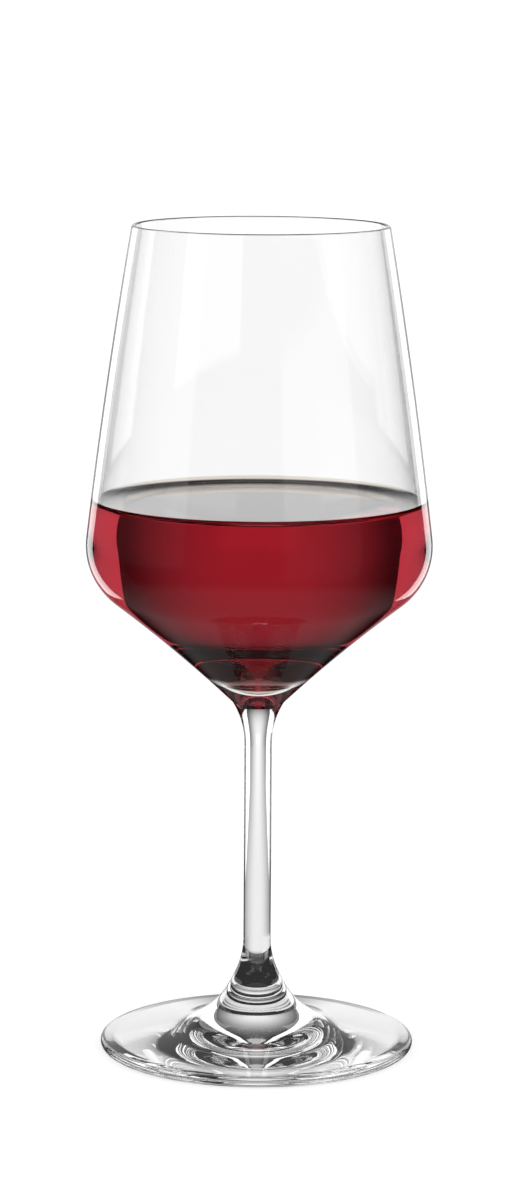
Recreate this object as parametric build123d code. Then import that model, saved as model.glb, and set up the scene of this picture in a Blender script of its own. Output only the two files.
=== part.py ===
"""A stemmed red wine glass, standing on its foot, with a pour of red wine in the bowl.

Four pieces: a blown bowl, a drawn stem and a pressed foot, fused end to end while hot, and the
wine that the bowl holds. Millimetres, +Z up, origin on the table under the stem's axis.
"""

from build123d import *
import math
import os

# Foot
FOOT_RADIUS = 44.9  # widest point of the rounded edge
FOOT_EDGE_THICKNESS = 3.0  # the disc at its edge
FOOT_HEIGHT = 20.2  # table to the seam with the stem
FOOT_DISC_SLOPE = 10.0  # degrees that the disc's upper face rises towards the stem
FOOT_BOSS_LEAN = 27.0  # degrees from upright of the boss just under the seam
FOOT_BOSS_RADIUS = 23.0  # radius of the hollow curve between the disc and the boss
FOOT_RING_WIDTH = 3.2  # the flat ring that stands on the table
FOOT_KICK_UP = 2.0  # height of the hollow under the middle of the foot

# Stem
STEM_LENGTH = 80.5  # seam to seam
STEM_WAIST_RADIUS = 3.9  # the straight middle of the stem
STEM_FOOT_SEAM_RADIUS = 6.9
STEM_FOOT_FLARE = 11.5  # height over which the stem widens to the foot
STEM_BOWL_SEAM_RADIUS = 7.4
STEM_BOWL_FLARE = 12.0  # height over which the stem widens to the bowl

# Bowl
BOWL_HEIGHT = 135.3  # seam to rim
BOWL_RADIUS = 49.0  # widest point, at the shoulder
BOWL_SHOULDER_HEIGHT = 45.0  # seam to the widest point
BOWL_SHOULDER_CURVE = 20.0  # radius of the shoulder's curve
BOWL_WALL_LEAN = 6.8  # degrees from upright where the wall leaves the shoulder
BOWL_CONE_LEAN = 52.3  # degrees from upright where the lower cone leaves the shoulder
RIM_RADIUS = 36.2
RIM_THICKNESS = 1.1
SHOULDER_THICKNESS = 1.5
BOWL_FLOOR_THICKNESS = 6.4  # solid glass between the seam and the cavity
CAVITY_FLOOR_CURVE = 10.0  # radius of the cup at the bottom of the cavity
CAVITY_FLOOR_SPREAD = 44.0  # degrees of that cup, from the axis to the cone

# Wine
WINE_HEIGHT = 55.8  # bowl seam to the wine's surface

SEAM_LOW = FOOT_HEIGHT
SEAM_HIGH = SEAM_LOW + STEM_LENGTH
RIM_LEVEL = SEAM_HIGH + BOWL_HEIGHT
SHOULDER_LEVEL = SEAM_HIGH + BOWL_SHOULDER_HEIGHT
WINE_LEVEL = SEAM_HIGH + WINE_HEIGHT


def along(lean):
    """Unit direction, radius then height, of a line that climbs outwards at lean degrees from upright."""
    return math.sin(math.radians(lean)), math.cos(math.radians(lean))


def shoulder_point(curve, lean):
    """Point of a shoulder curve of that radius where it leans by lean degrees, negative above its widest."""
    centre = BOWL_RADIUS - BOWL_SHOULDER_CURVE
    angle = math.radians(lean)
    return centre + curve * math.cos(angle), SHOULDER_LEVEL - curve * math.sin(angle)


def shoulder_curves(curve, low_end, rim_end):
    """Lower cone, shoulder and upper wall as three arcs in line, from low_end up to rim_end."""
    low = shoulder_point(curve, BOWL_CONE_LEAN)
    widest = shoulder_point(curve, 0)
    high = shoulder_point(curve, -BOWL_WALL_LEAN)
    cone_dir = along(BOWL_CONE_LEAN)
    wall_dir = along(-BOWL_WALL_LEAN)
    cone = TangentArc(low, low_end, tangent=(-cone_dir[0], -cone_dir[1]))
    shoulder = ThreePointArc(low, widest, high)
    wall = TangentArc(high, rim_end, tangent=wall_dir)
    return cone, shoulder, wall


def cavity_curves():
    """The bowl's inner outline, from the axis at the cavity's floor up to the rim."""
    floor = SEAM_HIGH + BOWL_FLOOR_THICKNESS
    spread = math.radians(CAVITY_FLOOR_SPREAD)
    half = spread / 2
    cup = CAVITY_FLOOR_CURVE
    cup_end = (cup * math.sin(spread), floor + cup * (1 - math.cos(spread)))
    cup_mid = (cup * math.sin(half), floor + cup * (1 - math.cos(half)))
    rim_in = (RIM_RADIUS - RIM_THICKNESS, RIM_LEVEL - RIM_THICKNESS / 2)
    cup_arc = ThreePointArc((0, floor), cup_mid, cup_end)
    inner_curve = BOWL_SHOULDER_CURVE - SHOULDER_THICKNESS
    return [cup_arc, *shoulder_curves(inner_curve, cup_end, rim_in)]


def turned(edges):
    """The solid that closed edges in the XZ plane sweep in one turn about Z."""
    outline = Plane.XZ * make_face(edges)
    return revolve(outline, Axis.Z)


def make_bowl():
    """Thin blown bowl with a rounded rim and a solid floor that ends in the seam."""
    inner = cavity_curves()
    rim_in = inner[-1] @ 1
    rim_top = (RIM_RADIUS - RIM_THICKNESS / 2, RIM_LEVEL)
    rim_out = (RIM_RADIUS, RIM_LEVEL - RIM_THICKNESS / 2)
    seam_edge = (STEM_BOWL_SEAM_RADIUS, SEAM_HIGH)
    outer = shoulder_curves(BOWL_SHOULDER_CURVE, seam_edge, rim_out)
    rim = ThreePointArc(rim_in, rim_top, rim_out)
    seam = Line(seam_edge, (0, SEAM_HIGH))
    core = Line((0, SEAM_HIGH), (0, SEAM_HIGH + BOWL_FLOOR_THICKNESS))
    return turned([*inner, rim, *outer, seam, core])


def make_stem():
    """Drawn stem: a straight round rod that widens in a smooth curve at each seam."""
    low_waist = (STEM_WAIST_RADIUS, SEAM_LOW + STEM_FOOT_FLARE)
    high_waist = (STEM_WAIST_RADIUS, SEAM_HIGH - STEM_BOWL_FLARE)
    low_seam = (STEM_FOOT_SEAM_RADIUS, SEAM_LOW)
    high_seam = (STEM_BOWL_SEAM_RADIUS, SEAM_HIGH)
    low_flare = TangentArc(low_waist, low_seam, tangent=(0, -1))
    high_flare = TangentArc(high_waist, high_seam, tangent=(0, 1))
    rod = Line(low_waist, high_waist)
    bottom = Line(low_seam, (0, SEAM_LOW))
    axis = Line((0, SEAM_LOW), (0, SEAM_HIGH))
    top = Line((0, SEAM_HIGH), high_seam)
    return turned([low_flare, rod, high_flare, bottom, axis, top])


def make_foot():
    """Pressed foot: a disc with a rounded edge that climbs to the boss under the stem, hollow beneath."""
    edge = FOOT_EDGE_THICKNESS / 2
    ring_out = FOOT_RADIUS - edge
    ring_in = ring_out - FOOT_RING_WIDTH
    slope = math.radians(FOOT_DISC_SLOPE)
    # The edge is a half round that leans over to meet the sloping disc.
    edge_top = (ring_out + edge * math.sin(slope), edge + edge * math.cos(slope))
    seam_edge = (STEM_FOOT_SEAM_RADIUS, SEAM_LOW)
    # The hollow curve runs from the boss's lean to the disc's slope.
    lean = math.radians(FOOT_BOSS_LEAN)
    turn_in = FOOT_BOSS_RADIUS
    drop = turn_in * (math.cos(slope) - math.sin(lean))
    reach = turn_in * (math.cos(lean) - math.sin(slope))
    # A straight stretch of boss, then the curve, then the disc, meet in one outline.
    climb = edge_top[1] - SEAM_LOW + drop
    run = edge_top[0] - STEM_FOOT_SEAM_RADIUS - reach
    boss = (-climb - run * math.tan(slope)) / (math.cos(lean) - math.sin(lean) * math.tan(slope))
    boss_end = (seam_edge[0] + boss * math.sin(lean), SEAM_LOW - boss * math.cos(lean))
    disc_start = (boss_end[0] + reach, boss_end[1] - drop)
    boss_line = Line(seam_edge, boss_end)
    hollow = TangentArc(boss_end, disc_start, tangent=(math.sin(lean), -math.cos(lean)))
    disc = Line(disc_start, edge_top)
    rounding = ThreePointArc(edge_top, (FOOT_RADIUS, edge), (ring_out, 0))
    ring = Line((ring_out, 0), (ring_in, 0))
    under = TangentArc((0, FOOT_KICK_UP), (ring_in, 0), tangent=(1, 0))
    core = Line((0, FOOT_KICK_UP), (0, SEAM_LOW))
    seam = Line((0, SEAM_LOW), seam_edge)
    return turned([boss_line, hollow, disc, rounding, ring, under, core, seam])


def make_wine():
    """The wine: all of the cavity that lies below its level surface."""
    inner = cavity_curves()
    rim_in = inner[-1] @ 1
    top = Line(rim_in, (0, rim_in.Y))
    axis = Line((0, rim_in.Y), inner[0] @ 0)
    brimful = turned([*inner, top, axis])
    print(f"brimful {brimful.volume / 1000:.0f} ml")
    block = Pos(0, 0, WINE_LEVEL) * Box(
        3 * BOWL_RADIUS, 3 * BOWL_RADIUS, BOWL_HEIGHT, align=(Align.CENTER, Align.CENTER, Align.MIN)
    )
    return brimful - block


def main():
    """Build every piece and write one STEP file for each."""
    os.makedirs("parts", exist_ok=True)
    pieces = {
        "bowl": make_bowl(),
        "stem": make_stem(),
        "foot": make_foot(),
        "red_wine": make_wine(),
    }
    for name, piece in pieces.items():
        piece.label = name
        print(f"{name} {piece.volume / 1000:.1f} ml")
        export_step(piece, f"parts/{name}.step")


main()
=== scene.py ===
"""Looks of a red wine glass: clear fired glass, the wine in it and the white studio it stands in.

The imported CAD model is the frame. Each of its four nodes is replaced by a finely turned piece of
the same outline, because light bends through the glass, and a coarse mesh would show in it.
"""

import logging
import math
from dataclasses import dataclass, field
from enum import IntEnum
from typing import Any, Optional, Sequence

import bmesh
import bpy
from mathutils import Matrix, Vector


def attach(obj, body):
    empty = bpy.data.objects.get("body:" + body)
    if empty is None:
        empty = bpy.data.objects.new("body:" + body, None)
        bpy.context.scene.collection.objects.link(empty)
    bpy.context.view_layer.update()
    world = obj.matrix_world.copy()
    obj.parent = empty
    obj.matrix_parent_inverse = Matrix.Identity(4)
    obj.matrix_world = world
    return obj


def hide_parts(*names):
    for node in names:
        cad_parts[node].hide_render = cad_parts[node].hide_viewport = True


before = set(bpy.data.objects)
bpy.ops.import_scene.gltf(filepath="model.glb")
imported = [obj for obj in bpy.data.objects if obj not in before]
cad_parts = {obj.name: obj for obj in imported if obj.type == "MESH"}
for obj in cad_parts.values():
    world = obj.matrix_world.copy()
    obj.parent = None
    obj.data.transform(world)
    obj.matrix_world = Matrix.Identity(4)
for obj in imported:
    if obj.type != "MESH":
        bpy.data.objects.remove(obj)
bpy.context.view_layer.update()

log = logging.getLogger("wine_glass")

Point = tuple[float, float]
Span = tuple[float, float]
Colour = tuple[float, float, float]

MM = 0.001

TINY = 1e-9  # metres, under which a distance counts as none
WELD = 2e-6  # metres, within which two corners of a turned mesh become one
SHARP = math.radians(25)  # a fold over this shows as an edge

GLASS_INDEX = 1.52  # refractive indices, over air
WINE_INDEX = 1.34
CONTACT_FILM = 0.03 * MM  # between the wine's mesh and the glass, so that their faces don't share a plane
GLASS_RIPPLE = 0.02 * MM  # depth of the waves that hot working leaves in the glass
GLASS_RIPPLE_SIZE = 22 * MM  # their length round the piece


class Zone(IntEnum):
    """What a stretch of a piece's surface touches, which is also its material slot."""

    DRY = 0  # air
    WET = 1  # wine against glass
    FUSED = 2  # glass against glass, at a seam


# ---------------------------------------------------------------------------------------------
# Shader maths
# ---------------------------------------------------------------------------------------------


class Socket:
    """A shader value whose arithmetic adds Math nodes to its tree."""

    def __init__(self, graph: "Graph", out: bpy.types.NodeSocket) -> None:
        """Wraps an output socket of a node in graph."""
        self.graph = graph
        self.out = out

    def _math(self, operation: str, *values: Any) -> "Socket":
        """One Math node.

        Args:
            operation: the node's operation.
            values: sockets or numbers, in the order of its inputs.

        Returns:
            The node's result.
        """
        return self.graph.add("ShaderNodeMath", {"operation": operation}, dict(enumerate(values)))

    def __add__(self, other: Any) -> "Socket":
        """self + other."""
        return self._math("ADD", self, other)

    def __radd__(self, other: Any) -> "Socket":
        """other + self."""
        return self._math("ADD", other, self)

    def __sub__(self, other: Any) -> "Socket":
        """self - other."""
        return self._math("SUBTRACT", self, other)

    def __rsub__(self, other: Any) -> "Socket":
        """other - self."""
        return self._math("SUBTRACT", other, self)

    def __mul__(self, other: Any) -> "Socket":
        """self * other."""
        return self._math("MULTIPLY", self, other)

    def __rmul__(self, other: Any) -> "Socket":
        """other * self."""
        return self._math("MULTIPLY", other, self)

    def __abs__(self) -> "Socket":
        """abs(self)."""
        return self._math("ABSOLUTE", self)

    def step(self, low: float, high: float) -> "Socket":
        """A smooth rise from 0 at low to 1 at high."""
        settings = {"interpolation_type": "SMOOTHSTEP"}
        return self.graph.add("ShaderNodeMapRange", settings, {0: self, 1: low, 2: high, 3: 0.0, 4: 1.0})

    def band(self, low: float, high: float, soft: float) -> "Socket":
        """1 between low and high and 0 outside, over an edge soft wide."""
        half = soft / 2
        return self.step(low - half, low + half) * (1 - self.step(high - half, high + half))


class Graph:
    """A node tree that is built by calls."""

    def __init__(self, tree: bpy.types.NodeTree) -> None:
        """Starts from tree with all of its nodes taken out."""
        self.tree = tree
        tree.nodes.clear()

    def add(
        self,
        kind: str,
        settings: Optional[dict[str, Any]] = None,
        inputs: Optional[dict[Any, Any]] = None,
        out: int = 0,
    ) -> Socket:
        """Adds one node.

        Args:
            kind: the node's type.
            settings: its own settings, which are set first.
            inputs: the value or link of each input, by name or number.
            out: which of its outputs is wanted.

        Returns:
            That output.
        """
        node = self.tree.nodes.new(kind)
        for name, value in (settings or {}).items():
            setattr(node, name, value)
        for name, value in (inputs or {}).items():
            if isinstance(value, Socket):
                self.tree.links.new(value.out, node.inputs[name])
            else:
                node.inputs[name].default_value = value
        return Socket(self, node.outputs[out])

    def coordinates(self, name: str) -> Socket:
        """The Texture Coordinate output of that name."""
        node = self.tree.nodes.new("ShaderNodeTexCoord")
        return Socket(self, node.outputs[name])

    def axes(self, vector: Socket) -> tuple[Socket, Socket, Socket]:
        """The three parts of a vector."""
        split = self.add("ShaderNodeSeparateXYZ", inputs={0: vector}).out.node
        x, y, z = (Socket(self, output) for output in split.outputs)
        return x, y, z

    def noise(self, vector: Socket, scale: float, detail: float = 2.0) -> Socket:
        """Smooth noise from 0 to 1."""
        return self.add("ShaderNodeTexNoise", inputs={"Vector": vector, "Scale": scale, "Detail": detail})

    def close(self, kind: str, ends: dict[str, Socket]) -> None:
        """Adds the tree's output node.

        Args:
            kind: the node's type.
            ends: what feeds each of its inputs, by name.
        """
        output = self.tree.nodes.new(kind)
        for name, socket in ends.items():
            self.tree.links.new(socket.out, output.inputs[name])


def new_material(name: str) -> tuple[bpy.types.Material, Graph]:
    """Makes a material.

    Args:
        name: its name.

    Returns:
        The material, and the empty graph of its nodes.
    """
    material = bpy.data.materials.new(name)
    material.use_nodes = True
    return material, Graph(material.node_tree)


# ---------------------------------------------------------------------------------------------
# Finishes
# ---------------------------------------------------------------------------------------------


@dataclass(frozen=True)
class Clear:
    """A clear surface that bends light: the wall of a glass, or of what it holds.

    Attributes:
        name: the material's name.
        index: refractive index of the inside over the outside.
        tint: what the surface leaves of the light that crosses it twice.
        ripple: depth of the slow waves that hot working leaves, in metres.
        ripple_size: length of those waves round the piece, in metres.
        absorbs: what a metre of the inside takes from red, green and blue.
        sheen: refractive index of a film that adds to the reflection, or 0 for none.
        ripple_height: scale of the waves up the piece over their scale round it.
        melt_scale: how many patches of uneven tint lie in a metre.
        melt_range: the part of the noise over which the tint changes.
        melt_share: the tint of the deeper patches over that of the others.
    """

    name: str
    index: float
    tint: Colour = (1.0, 1.0, 1.0)
    ripple: float = 0.0
    ripple_size: float = 0.03
    absorbs: Colour = (0.0, 0.0, 0.0)
    sheen: float = 0.0
    ripple_height: float = 0.35
    melt_scale: float = 18.0
    melt_range: Span = (0.3, 0.7)
    melt_share: float = 0.992

    def make(self) -> bpy.types.Material:
        """Builds the material.

        Returns:
            The new material.
        """
        material, graph = new_material(self.name)
        place = graph.coordinates("Object")
        inputs: dict[str, Any] = {
            "IOR": self.index,
            "Transmission Weight": 1.0,
            "Base Color": self._tint(graph, place),
            "Roughness": 0.0,
        }
        if self.ripple:
            inputs["Normal"] = self._ripple(graph, place)
        if self.sheen:
            inputs |= {"Coat Weight": 1.0, "Coat IOR": self.sheen, "Coat Roughness": 0.0}
        ends = {"Surface": graph.add("ShaderNodeBsdfPrincipled", inputs=inputs)}
        if any(self.absorbs):
            ends["Volume"] = self._absorption(graph)
        graph.close("ShaderNodeOutputMaterial", ends)
        return material

    def _tint(self, graph: Graph, place: Socket) -> Socket:
        """The tint, a touch uneven, as a melt is."""
        uneven = graph.noise(place, self.melt_scale).step(*self.melt_range)
        deep = tuple(part * self.melt_share for part in self.tint)
        inputs = {0: uneven, 6: (*self.tint, 1.0), 7: (*deep, 1.0)}
        return graph.add("ShaderNodeMix", {"data_type": "RGBA"}, inputs, out=2)

    def _ripple(self, graph: Graph, place: Socket) -> Socket:
        """Slow waves in the surface, longer up the piece than round it."""
        scale = (1.0, 1.0, self.ripple_height)
        stretched = graph.add("ShaderNodeMapping", inputs={"Vector": place, "Scale": scale})
        waves = graph.noise(stretched, 1.0 / self.ripple_size, detail=1.0)
        return graph.add("ShaderNodeBump", inputs={"Height": waves, "Distance": self.ripple, "Strength": 1.0})

    def _absorption(self, graph: Graph) -> Socket:
        """Absorption of the inside, as a colour and a density."""
        density = max(self.absorbs)
        left = tuple(1.0 - part / density for part in self.absorbs)
        return graph.add("ShaderNodeVolumeAbsorption", inputs={"Color": (*left, 1.0), "Density": density})


@dataclass(frozen=True)
class Unseen:
    """The inside of a fused seam, where there is no surface any more."""

    name: str

    def make(self) -> bpy.types.Material:
        """Builds the material.

        Returns:
            A material that light crosses unchanged.
        """
        material, graph = new_material(self.name)
        graph.close("ShaderNodeOutputMaterial", {"Surface": graph.add("ShaderNodeBsdfTransparent")})
        return material


Finish = Clear | Unseen


# ---------------------------------------------------------------------------------------------
# Turned shapes
# ---------------------------------------------------------------------------------------------


@dataclass
class Outline:
    """Half of a turned piece's section: stretches of points, radius then height, each in one zone."""

    start: Point
    grain: float = 1.0 * MM  # longest step along a curve
    turn: float = math.radians(3.0)  # largest change of direction in one step
    stretches: list[tuple[Zone, list[Point]]] = field(default_factory=list)

    def end(self) -> Point:
        """The last point so far."""
        return self.stretches[-1][1][-1] if self.stretches else self.start

    def add(self, points: Sequence[Point], zone: Zone) -> "Outline":
        """Carries the outline on through points, in zone."""
        self.stretches.append((zone, [self.end(), *points]))
        return self

    def line(self, end: Point, zone: Zone = Zone.DRY) -> "Outline":
        """A straight stretch to end."""
        near = Vector(self.end())
        far = Vector(end)
        steps = max(1, math.ceil((far - near).length / self.grain))
        return self.add([tuple(near.lerp(far, (i + 1) / steps)) for i in range(steps)], zone)

    def curve(self, end: Point, heading: Point, zone: Zone = Zone.DRY) -> "Outline":
        """A round stretch to end that leaves the last point along heading.

        Args:
            end: where it ends.
            heading: its direction at its start.
            zone: what it touches.

        Returns:
            The outline.
        """
        near = Vector(self.end())
        chord = Vector(end) - near
        ahead = Vector(heading).normalized()
        side = Vector((-ahead.y, ahead.x))
        across = chord.dot(side)
        if abs(across) < TINY:
            return self.line(end, zone)
        radius = chord.length_squared / (2 * across)
        swept = 2 * math.atan2(across, chord.dot(ahead))
        steps = max(2, math.ceil(abs(swept) / self.turn), math.ceil(abs(radius * swept) / self.grain))
        points = []
        for i in range(steps):
            angle = swept * (i + 1) / steps
            offset = ahead * math.sin(angle) + side * (1 - math.cos(angle))
            points.append(tuple(near + offset * radius))
        return self.add(points, zone)

    def split(self, level: float, below: Zone) -> "Outline":
        """Cuts every dry stretch at level, and puts what lies below it in another zone."""
        cut: list[tuple[Zone, list[Point]]] = []
        for zone, points in self.stretches:
            if zone is not Zone.DRY:
                cut.append((zone, points))
                continue
            runs = [[points[0]]]
            for near, far in zip(points, points[1:]):
                if (near[1] - level) * (far[1] - level) < 0:
                    share = (level - near[1]) / (far[1] - near[1])
                    middle = (near[0] + (far[0] - near[0]) * share, level)
                    runs[-1].append(middle)
                    runs.append([middle])
                runs[-1].append(far)
            for run in runs:
                high = max(point[1] for point in run)
                cut.append((below if high <= level + TINY else zone, run))
        self.stretches = cut
        return self

    def below(self, level: float) -> list[Point]:
        """All of the outline's points lower than level, and where it crosses level."""
        found: list[Point] = []
        points = [point for _, stretch in self.stretches for point in stretch]
        for near, far in zip(points, points[1:]):
            if near[1] < level:
                found.append(near)
            if (near[1] - level) * (far[1] - level) < 0:
                share = (level - near[1]) / (far[1] - near[1])
                found.append((near[0] + (far[0] - near[0]) * share, level))
        return found


def turned(name: str, outline: Outline, sectors: int = 16, steps: int = 15) -> bpy.types.Object:
    """Turns an outline once round the Z axis, as one sector that is then repeated.

    Args:
        name: the piece's name.
        outline: its half section, which starts and ends on the axis.
        sectors: how many sectors make the turn.
        steps: how many faces lie round each sector.

    Returns:
        The new object, closed, with its faces outwards and its zones in its material slots.
    """
    bm = bmesh.new()
    sector = {"cent": (0, 0, 0), "axis": (0, 0, 1), "angle": 2 * math.pi / sectors}
    for zone, points in outline.stretches:
        known = set(bm.faces)
        verts = [bm.verts.new((radius, 0.0, height)) for radius, height in points]
        edges = [bm.edges.new(pair) for pair in zip(verts, verts[1:])]
        bmesh.ops.spin(bm, geom=[*verts, *edges], **sector, steps=steps)
        for face in set(bm.faces) - known:
            face.material_index = int(zone)
    whole = {**sector, "angle": sector["angle"] * (sectors - 1)}
    first = [*bm.verts, *bm.edges, *bm.faces]
    bmesh.ops.spin(bm, geom=first, **whole, steps=sectors - 1, use_duplicate=True)
    bmesh.ops.remove_doubles(bm, verts=bm.verts, dist=WELD)
    bmesh.ops.recalc_face_normals(bm, faces=bm.faces)
    for face in bm.faces:
        face.smooth = True
    for edge in bm.edges:
        edge.smooth = not (edge.is_manifold and edge.calc_face_angle() > SHARP)
    open_edges = sum(not edge.is_manifold for edge in bm.edges)
    mesh = bpy.data.meshes.new(name)
    bm.to_mesh(mesh)
    bm.free()
    piece = bpy.data.objects.new(name, mesh)
    bpy.context.scene.collection.objects.link(piece)
    log.info("%s: %d faces, %d open edges", name, len(mesh.polygons), open_edges)
    return piece


def dressed(piece: bpy.types.Object, finishes: Sequence[Finish], node: str) -> bpy.types.Object:
    """Gives a piece its materials and its place in the frame.

    Args:
        piece: the piece.
        finishes: one finish for each zone, in order.
        node: the CAD node that it stands for.

    Returns:
        The piece.
    """
    for finish in finishes:
        piece.data.materials.append(finish.make())
    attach(piece, "root")
    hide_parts(node)
    return piece


def lean(degrees: float) -> Point:
    """Unit direction, radius then height, of a line that climbs outwards that far from upright."""
    return math.sin(math.radians(degrees)), math.cos(math.radians(degrees))


# ---------------------------------------------------------------------------------------------
# The glass and its wine
# ---------------------------------------------------------------------------------------------


@dataclass
class Foot:
    """The pressed foot: a disc with a rounded edge, a boss under the stem, and a hollow beneath."""

    radius: float = 44.9 * MM
    edge: float = 3.0 * MM
    height: float = 20.2 * MM
    disc_slope: float = 10.0  # degrees from level
    boss_lean: float = 27.0  # degrees from upright
    boss_curve: float = 23.0 * MM
    ring: float = 3.2 * MM
    kick_up: float = 2.0 * MM
    seam: float = 6.9 * MM

    def outline(self) -> Outline:
        """The half section, from the seam's middle down over the disc and back under it.

        Returns:
            The closed outline.
        """
        half = self.edge / 2
        ring_out = self.radius - half
        slope = math.radians(self.disc_slope)
        tilt = math.radians(self.boss_lean)
        edge_top = (ring_out + half * math.sin(slope), half + half * math.cos(slope))
        drop = self.boss_curve * (math.cos(slope) - math.sin(tilt))
        reach = self.boss_curve * (math.cos(tilt) - math.sin(slope))
        climb = edge_top[1] - self.height + drop
        run = edge_top[0] - self.seam - reach
        boss = (-climb - run * math.tan(slope)) / (math.cos(tilt) - math.sin(tilt) * math.tan(slope))
        boss_end = (self.seam + boss * math.sin(tilt), self.height - boss * math.cos(tilt))
        made = Outline((0.0, self.height))
        made.line((self.seam, self.height), Zone.FUSED)
        made.line(boss_end)
        made.curve((boss_end[0] + reach, boss_end[1] - drop), (math.sin(tilt), -math.cos(tilt)))
        made.line(edge_top)
        made.curve((ring_out, 0.0), (math.cos(slope), -math.sin(slope)))
        made.line((ring_out - self.ring, 0.0))
        return made.add(self.under(), Zone.DRY)

    def under(self) -> list[Point]:
        """The hollow underside, from the ring in to the axis.

        Returns:
            Points of one round stretch that is level at the axis.
        """
        ring_in = self.radius - self.edge / 2 - self.ring
        arch = Outline((0.0, self.kick_up)).curve((ring_in, 0.0), (1.0, 0.0))
        return arch.stretches[0][1][-2::-1]

    def build(self, finishes: Sequence[Finish]) -> bpy.types.Object:
        """Turns and dresses the foot."""
        return dressed(turned("foot_glass", self.outline()), finishes, "foot")


@dataclass
class Stem:
    """The drawn stem, a straight rod that widens into the foot and into the bowl."""

    base: float = 20.2 * MM
    length: float = 80.5 * MM
    waist: float = 3.9 * MM
    low_seam: float = 6.9 * MM
    low_flare: float = 11.5 * MM
    high_seam: float = 7.4 * MM
    high_flare: float = 12.0 * MM

    @property
    def top(self) -> float:
        """Height of the seam with the bowl."""
        return self.base + self.length

    def outline(self) -> Outline:
        """The half section, from the lower seam's middle up to the upper one's.

        Returns:
            The closed outline.
        """
        low = Outline((self.waist, self.base + self.low_flare))
        low.curve((self.low_seam, self.base), (0.0, -1.0))
        made = Outline((0.0, self.base))
        made.line((self.low_seam, self.base), Zone.FUSED)
        made.add(low.stretches[0][1][-2::-1], Zone.DRY)
        made.line((self.waist, self.top - self.high_flare))
        made.curve((self.high_seam, self.top), (0.0, 1.0))
        return made.line((0.0, self.top), Zone.FUSED)

    def build(self, finishes: Sequence[Finish]) -> bpy.types.Object:
        """Turns and dresses the stem."""
        return dressed(turned("stem_glass", self.outline()), finishes, "stem")


@dataclass
class Bowl:
    """The blown bowl: a cone, a round shoulder and a wall that leans in to a fired rim."""

    base: float = 100.7 * MM
    height: float = 135.3 * MM
    radius: float = 49.0 * MM
    shoulder: float = 45.0 * MM
    shoulder_curve: float = 20.0 * MM
    wall_lean: float = 6.8  # degrees from upright, inwards
    cone_lean: float = 52.3  # degrees from upright, outwards
    rim: float = 36.2 * MM
    rim_wall: float = 1.1 * MM
    shoulder_wall: float = 1.5 * MM
    floor: float = 6.4 * MM
    cup: float = 10.0 * MM
    cup_spread: float = 44.0  # degrees that the cup's curve turns through, from the axis out
    seam: float = 7.4 * MM

    @property
    def rim_level(self) -> float:
        """Height of the rim over the table."""
        return self.base + self.height

    def _on_shoulder(self, curve: float, degrees: float) -> Point:
        """The point where a shoulder curve of that radius leans by degrees, negative above its widest."""
        angle = math.radians(degrees)
        centre = self.radius - self.shoulder_curve
        return centre + curve * math.cos(angle), self.base + self.shoulder - curve * math.sin(angle)

    def side(self, foot: Point, curve: float, rim: Point) -> list[Point]:
        """Cone, shoulder and wall in one line.

        Args:
            foot: where the cone starts, low.
            curve: the shoulder's radius.
            rim: where the wall ends, high.

        Returns:
            The points from foot to rim, without foot.
        """
        out = lean(self.cone_lean)
        low = self._on_shoulder(curve, self.cone_lean)
        cone = Outline(low).curve(foot, (-out[0], -out[1]))
        made = Outline(low)
        made.curve(self._on_shoulder(curve, -self.wall_lean), out)
        made.curve(rim, lean(-self.wall_lean))
        points = cone.stretches[0][1][-2::-1]
        for _, stretch in made.stretches:
            points += stretch[1:]
        return points

    def cavity(self, film: float = 0.0) -> Outline:
        """The inner outline, from the axis at the cavity's floor up to the rim.

        Args:
            film: how far inside the glass it runs.

        Returns:
            The open outline.
        """
        floor = self.base + self.floor + film
        cup = self.cup - film
        spread = math.radians(self.cup_spread)
        cup_end = (cup * math.sin(spread), floor + cup * (1 - math.cos(spread)))
        rim_in = (self.rim - self.rim_wall - film, self.rim_level - self.rim_wall / 2)
        made = Outline((0.0, floor))
        made.curve(cup_end, (1.0, 0.0))
        curve = self.shoulder_curve - self.shoulder_wall - film
        return made.add(self.side(cup_end, curve, rim_in), Zone.DRY)

    def outline(self, wetted_to: float) -> Outline:
        """The half section, from the cavity's floor over the rim and down to the seam.

        Args:
            wetted_to: the height up to which the wine touches the inside.

        Returns:
            The closed outline.
        """
        made = self.cavity().split(wetted_to, Zone.WET)
        made.curve((self.rim, self.rim_level - self.rim_wall / 2), (0.0, 1.0))
        seam = (self.seam, self.base)
        outer = [seam, *self.side(seam, self.shoulder_curve, made.end())]
        made.add(outer[-2::-1], Zone.DRY)
        return made.line((0.0, self.base), Zone.FUSED)

    def build(self, finishes: Sequence[Finish], wetted_to: float) -> bpy.types.Object:
        """Turns and dresses the bowl."""
        return dressed(turned("bowl_glass", self.outline(wetted_to)), finishes, "bowl")


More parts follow.
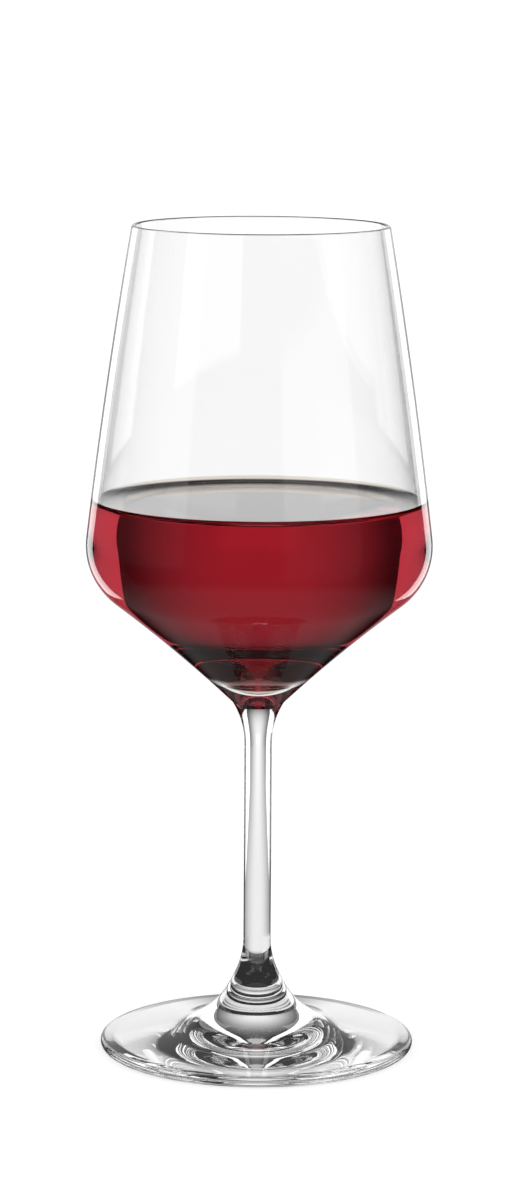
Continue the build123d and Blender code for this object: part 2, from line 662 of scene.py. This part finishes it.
@dataclass
class Wine:
    """The pour of red wine, with the meniscus that climbs the glass at its edge."""

    bowl: Bowl
    level: float = 156.7 * MM
    capillary: float = 2.16 * MM  # capillary length of wine, which sets the size of its meniscus
    steepest: float = 70.0  # slope of the surface where it meets the glass, in degrees
    flattest: float = 1.0  # slope at which it joins the flat middle
    steps: int = 30  # faces up the meniscus
    grain: float = 2.0 * MM  # longest step along the flat middle

    @property
    def edge(self) -> float:
        """Height of the line where the wine meets the glass."""
        return self.level + self._climb(self.steepest)

    def _climb(self, slope: float) -> float:
        """How far over the level the surface stands where it has that slope."""
        return 2 * self.capillary * math.sin(math.radians(slope) / 2)

    def _spread(self, slope: float) -> float:
        """How far the surface lies from the axis where it has that slope, up to a constant."""
        half = math.radians(slope) / 2
        return self.capillary * (math.log(math.tan(half / 2)) + 2 * math.cos(half))

    def outline(self) -> Outline:
        """The half section, from the middle of the surface out to the glass and down to the floor.

        Returns:
            The closed outline.
        """
        side = self.bowl.cavity(CONTACT_FILM).below(self.edge)
        reach = side[-1][0] - self._spread(self.steepest)
        made = Outline((0.0, self.level), grain=self.grain)
        made.line((reach + self._spread(self.flattest), self.level))
        rise = []
        for i in range(1, self.steps + 1):
            slope = self.flattest * (self.steepest / self.flattest) ** (i / self.steps)
            rise.append((reach + self._spread(slope), self.level + self._climb(slope)))
        made.add(rise, Zone.DRY)
        return made.add(side[-2::-1], Zone.WET)

    def build(self, finishes: Sequence[Finish]) -> bpy.types.Object:
        """Turns and dresses the wine."""
        return dressed(turned("red_wine_pour", self.outline()), finishes, "red_wine")


# ---------------------------------------------------------------------------------------------
# The studio
# ---------------------------------------------------------------------------------------------


@dataclass
class Card:
    """One upright white card across X, as a light that only the glass shows.

    Attributes:
        name: its name.
        light: how bright it is, where white paper is 1.
        middle: its centre.
        size: its width and height.
        mirrored: whether it shows in reflections, and not through the glass.
    """

    name: str
    light: float
    middle: tuple[float, float, float]
    size: Point
    mirrored: bool = False

    def build(self) -> None:
        """Makes the card a stage object."""
        bm = bmesh.new()
        bmesh.ops.create_grid(bm, x_segments=1, y_segments=1, size=0.5)
        bmesh.ops.scale(bm, verts=bm.verts, vec=(*self.size, 1.0))
        turn = Matrix.Rotation(math.radians(90), 4, "Z") @ Matrix.Rotation(math.radians(90), 4, "X")
        bmesh.ops.transform(bm, matrix=Matrix.Translation(self.middle) @ turn, verts=bm.verts)
        card = staged(self.name, bm, glow(self.name, self.light))
        card.visible_camera = False
        card.visible_diffuse = False
        card.visible_shadow = False
        card.visible_glossy = self.mirrored
        card.visible_transmission = not self.mirrored


@dataclass(frozen=True)
class Patch:
    """A lit patch of the surroundings, placed by bearing and elevation in degrees.

    Attributes:
        middle: bearing of its middle.
        reach: how far it goes either way from there.
        low: elevation of its lower edge.
        high: elevation of its upper edge.
        light: how bright it is.
        soft: width of its edges.
    """

    middle: float
    reach: float
    low: float
    high: float
    light: float
    soft: float = 2.0

    def over(self, light: Socket, bearing: Socket, height: Socket) -> Socket:
        """Lays the patch over light.

        Args:
            light: the light without it.
            bearing: degrees from straight behind, to the right.
            height: degrees over the horizon.

        Returns:
            The light with it.
        """
        share = bearing.band(self.middle - self.reach, self.middle + self.reach, self.soft)
        share = share * height.band(self.low, self.high, self.soft)
        return light + (self.light - light) * share


@dataclass
class Surroundings:
    """The light from beyond the cards: a backdrop lit in its middle, a table, lit patches, and dark.

    It goes by bearing from straight behind and by elevation, both in degrees. A span is the two angles
    between which a light fades, unless its comment says that it is two edges. What the glass mirrors is
    set apart from what shows through it, and a camera sees plain white instead.
    """

    white: float = 1.08
    shade: float = 0.03  # what the dark still gives off
    middle_light: float = 0.94  # the backdrop's, straight behind
    edge_light: float = 0.08  # the backdrop's, at its sides
    backdrop_fade: Span = (2, 31)  # bearing, from the middle's light to the edge's
    backdrop_end: Span = (33, 38)  # bearing, from the edge's light to the dark
    top_fade: Span = (0, 45)  # elevation, over which the backdrop dims
    top_loss: float = 0.9  # the share that it loses there
    table_light: float = 0.9
    table_edge_light: float = 0.4
    table_fade: Span = (5, 55)  # bearing, from the one to the other
    table_end: Span = (55, 65)  # bearing, from the table's edge to the dark
    table_near: Span = (-34, -26)  # elevation, from the dark under the glass to the table
    meeting: Span = (-14, -11)  # elevation, from the table to the backdrop
    straight_light: float = 0.14  # what is added low in the backdrop's middle
    straight_end: Span = (4, 9)  # bearing, over which it ends
    straight_heights: Span = (-12, -3)  # two edges: the elevations between which it lies
    straight_soft: float = 4.0  # width of those edges
    top_light: float = 0.25
    top_start: Span = (70, 76)  # elevation, from the dark to the light overhead
    patches: tuple[Patch, ...] = (
        Patch(middle=-45, reach=30, low=-36, high=-15, light=0.9),
        Patch(middle=135, reach=28, low=-28, high=10, light=0.9),
        Patch(middle=0, reach=20, low=50, high=85, light=0.5),
        Patch(middle=-90, reach=4, low=-8, high=1.5, light=0.9),
    )
    mirror_light: float = 1.0
    mirror_wide_end: Span = (14, 34)  # bearing, over which the upper backdrop ends
    mirror_narrow_end: Span = (0, 31)  # bearing, over which the lower backdrop ends
    mirror_narrow_share: float = 0.4  # the lower one's light over the upper one's
    mirror_meeting: Span = (-5, 0)  # elevation, from the lower to the upper
    mirror_bottom: Span = (-26, -14)  # elevation, from the dark to the lower
    mirror_table: float = 0.19
    mirror_table_end: Span = (-45, -26)  # elevation, from the table to the dark

    def build(self) -> None:
        """Makes the scene's world."""
        world = bpy.data.worlds.new("studio")
        bpy.context.scene.world = world
        world.use_nodes = True
        graph = Graph(world.node_tree)
        x, y, z = graph.axes(graph.coordinates("Generated"))
        bearing = graph.add("ShaderNodeMath", {"operation": "ARCTAN2"}, {0: x, 1: y}) * math.degrees(1)
        height = graph.add("ShaderNodeMath", {"operation": "ARCSINE"}, {0: z}) * math.degrees(1)
        path = graph.tree.nodes.new("ShaderNodeLightPath")
        gloss = Socket(graph, path.outputs["Is Reflection Ray"])
        plain = Socket(graph, path.outputs["Is Camera Ray"]) + Socket(graph, path.outputs["Is Diffuse Ray"])
        light = self._through(bearing, height) * (1 - gloss) + self._mirrored(abs(bearing), height) * gloss
        strength = light * (1 - plain) + plain * self.white
        shade = graph.add("ShaderNodeBackground", inputs={"Color": (1, 1, 1, 1), "Strength": strength})
        graph.close("ShaderNodeOutputWorld", {"Surface": shade})

    def _through(self, bearing: Socket, height: Socket) -> Socket:
        """The light that is seen through the glass.

        Args:
            bearing: degrees from straight behind, to the right.
            height: degrees over the horizon.

        Returns:
            The light from that direction.
        """
        aside = abs(bearing)
        backdrop = self.middle_light - aside.step(*self.backdrop_fade) * (self.middle_light - self.edge_light)
        backdrop = backdrop * (1 - aside.step(*self.backdrop_end)) * self._dimmed(height)
        table = self.table_light - aside.step(*self.table_fade) * (self.table_light - self.table_edge_light)
        table = table * (1 - aside.step(*self.table_end)) * height.step(*self.table_near)
        over = height.step(*self.meeting)
        behind = backdrop * over + table * (1 - over)
        low = height.band(*self.straight_heights, self.straight_soft)
        behind = behind + (1 - aside.step(*self.straight_end)) * low * self.straight_light
        for patch in self.patches:
            behind = patch.over(behind, bearing, height)
        return behind + height.step(*self.top_start) * self.top_light + self.shade

    def _mirrored(self, aside: Socket, height: Socket) -> Socket:
        """The light that the outside of the glass mirrors.

        Args:
            aside: degrees from straight behind, either way.
            height: degrees over the horizon.

        Returns:
            The light from that direction.
        """
        wide = 1 - aside.step(*self.mirror_wide_end)
        narrow = (1 - aside.step(*self.mirror_narrow_end)) * self.mirror_narrow_share
        raised = height.step(*self.mirror_meeting)
        backdrop = wide * raised + narrow * (1 - raised)
        backdrop = backdrop * self._dimmed(height) * height.step(*self.mirror_bottom) * self.mirror_light
        return backdrop + (1 - height.step(*self.mirror_table_end)) * self.mirror_table

    def _dimmed(self, height: Socket) -> Socket:
        """What the backdrop keeps of its light at that elevation."""
        return 1 - height.step(*self.top_fade) * self.top_loss


@dataclass
class Studio:
    """A white table, with two pairs of white cards behind the glass to its left and right.

    Of each pair, one card shows through the glass and the other in its reflections. One more card
    stands out to the left, and lights the glass for a view from its right.
    """

    card_offset: float = 155 * MM  # how far the pairs stand to either side
    card_near: float = 119 * MM  # how far behind the glass the cards that show through it start
    gloss_near: float = 140 * MM  # and the ones that it mirrors
    card_far: float = 315 * MM  # where both end
    card_top: float = 420 * MM
    card_light: float = 1.35
    card_gloss: float = 1.9
    side_light: float = 1.0
    side_middle: tuple[float, float, float] = (-250 * MM, 0.0, 310 * MM)
    side_size: Point = (450 * MM, 420 * MM)
    table_radius: float = 40.0
    table_drop: float = 0.02 * MM  # so that its top doesn't share a plane with the foot's ring
    table_share: float = 0.65  # the table's own light over the white of the surroundings
    table_matt: float = 0.35  # the share of the light on it that the table scatters back
    surroundings: Surroundings = field(default_factory=Surroundings)

    def build(self) -> None:
        """Makes the table, the cards and the surroundings."""
        self._table()
        for side, word in ((-1, "left"), (1, "right")):
            through = (self.card_near, self.card_light, False)
            gloss = (self.gloss_near, self.card_gloss, True)
            for near, light, mirrored in (through, gloss):
                depth = self.card_far - near
                middle = (side * self.card_offset, near + depth / 2, self.card_top / 2)
                name = f"card_{word}_{'gloss' if mirrored else 'through'}"
                Card(name, light, middle, (depth, self.card_top), mirrored).build()
        Card("card_side", self.side_light, self.side_middle, self.side_size).build()
        self.surroundings.build()

    def _table(self) -> None:
        """The pale table top, which the glass rests on."""
        bm = bmesh.new()
        bmesh.ops.create_circle(bm, cap_ends=True, segments=96, radius=self.table_radius)
        bmesh.ops.translate(bm, verts=bm.verts, vec=(0, 0, -self.table_drop))
        light = self.surroundings.white * self.table_share
        table = staged("table", bm, glow("table_white", light, self.table_matt))
        table.visible_transmission = False
        table.visible_glossy = False


def staged(name: str, bm: bmesh.types.BMesh, material: bpy.types.Material) -> bpy.types.Object:
    """Makes a stage object, which is no part of the glass.

    Args:
        name: its name.
        bm: its mesh, which is freed.
        material: its material.

    Returns:
        The new object.
    """
    mesh = bpy.data.meshes.new(name)
    bm.to_mesh(mesh)
    bm.free()
    mesh.materials.append(material)
    made = bpy.data.objects.new(name, mesh)
    bpy.context.scene.collection.objects.link(made)
    return made


def glow(name: str, light: float, matt: float = 0.0) -> bpy.types.Material:
    """A white surface that gives off light.

    Args:
        name: the material's name.
        light: how much it gives off.
        matt: the share of the light on it that it scatters back.

    Returns:
        The new material.
    """
    material, graph = new_material(name)
    inputs = {"Base Color": (matt, matt, matt, 1.0), "Roughness": 1.0, "Specular IOR Level": 0.0}
    inputs |= {"Emission Color": (1.0, 1.0, 1.0, 1.0), "Emission Strength": light}
    graph.close("ShaderNodeOutputMaterial", {"Surface": graph.add("ShaderNodeBsdfPrincipled", inputs=inputs)})
    return material


@dataclass
class Camera:
    """The camera: a long lens a metre off, a little over the rim. Its angles are in degrees."""

    height: float = 314.4 * MM
    distance: float = 1088.3 * MM
    tilt: float = 9.62
    roll: float = 0.35
    pan: float = 0.06
    lens: float = 116.9  # focal length, in millimetres
    sensor: float = 36.0  # width, in millimetres
    nearest: float = 10 * MM

    def build(self) -> None:
        """Makes the camera the scene's own."""
        data = bpy.data.cameras.new("camera")
        data.lens = self.lens
        data.sensor_width = self.sensor
        data.clip_start = self.nearest
        made = bpy.data.objects.new("camera", data)
        aim = Matrix.Rotation(math.radians(-self.pan), 4, "Z")
        aim = aim @ Matrix.Rotation(math.radians(90 - self.tilt), 4, "X")
        aim = aim @ Matrix.Rotation(math.radians(self.roll), 4, "Z")
        made.matrix_world = Matrix.Translation((0.0, -self.distance, self.height)) @ aim
        bpy.context.scene.collection.objects.link(made)
        bpy.context.scene.camera = made


def set_light_paths() -> None:
    """Lets light cross every wall of the glass, and shows white as white."""
    scene = bpy.context.scene
    cycles = scene.cycles
    cycles.max_bounces = 64
    cycles.transmission_bounces = 64
    cycles.glossy_bounces = 32
    cycles.transparent_max_bounces = 24
    scene.view_settings.view_transform = "Standard"


def main() -> None:
    """Builds the glass, the wine and the studio."""
    logging.basicConfig(level=logging.INFO, format="%(name)s %(message)s")
    waves = {"ripple": GLASS_RIPPLE, "ripple_size": GLASS_RIPPLE_SIZE}
    glass = Clear("clear_glass", GLASS_INDEX, **waves)
    wetted = Clear("wetted_glass", GLASS_INDEX / WINE_INDEX, **waves)
    fused = Unseen("fused_seam")
    walls = (glass, wetted, fused)
    absorbs = (11.8, 48.0, 39.8)
    wine_top = Clear("wine_surface", WINE_INDEX, absorbs=absorbs, sheen=1.46)
    wine_side = Clear("wine_against_glass", index=1.0, tint=(1.0, 1.0, 0.82), absorbs=absorbs)
    bowl = Bowl()
    wine = Wine(bowl)
    Foot().build(walls)
    Stem().build(walls)
    bowl.build(walls, wine.edge)
    wine.build((wine_top, wine_side))
    Studio().build()
    Camera().build()
    set_light_paths()


if __name__ == "__main__":
    main()
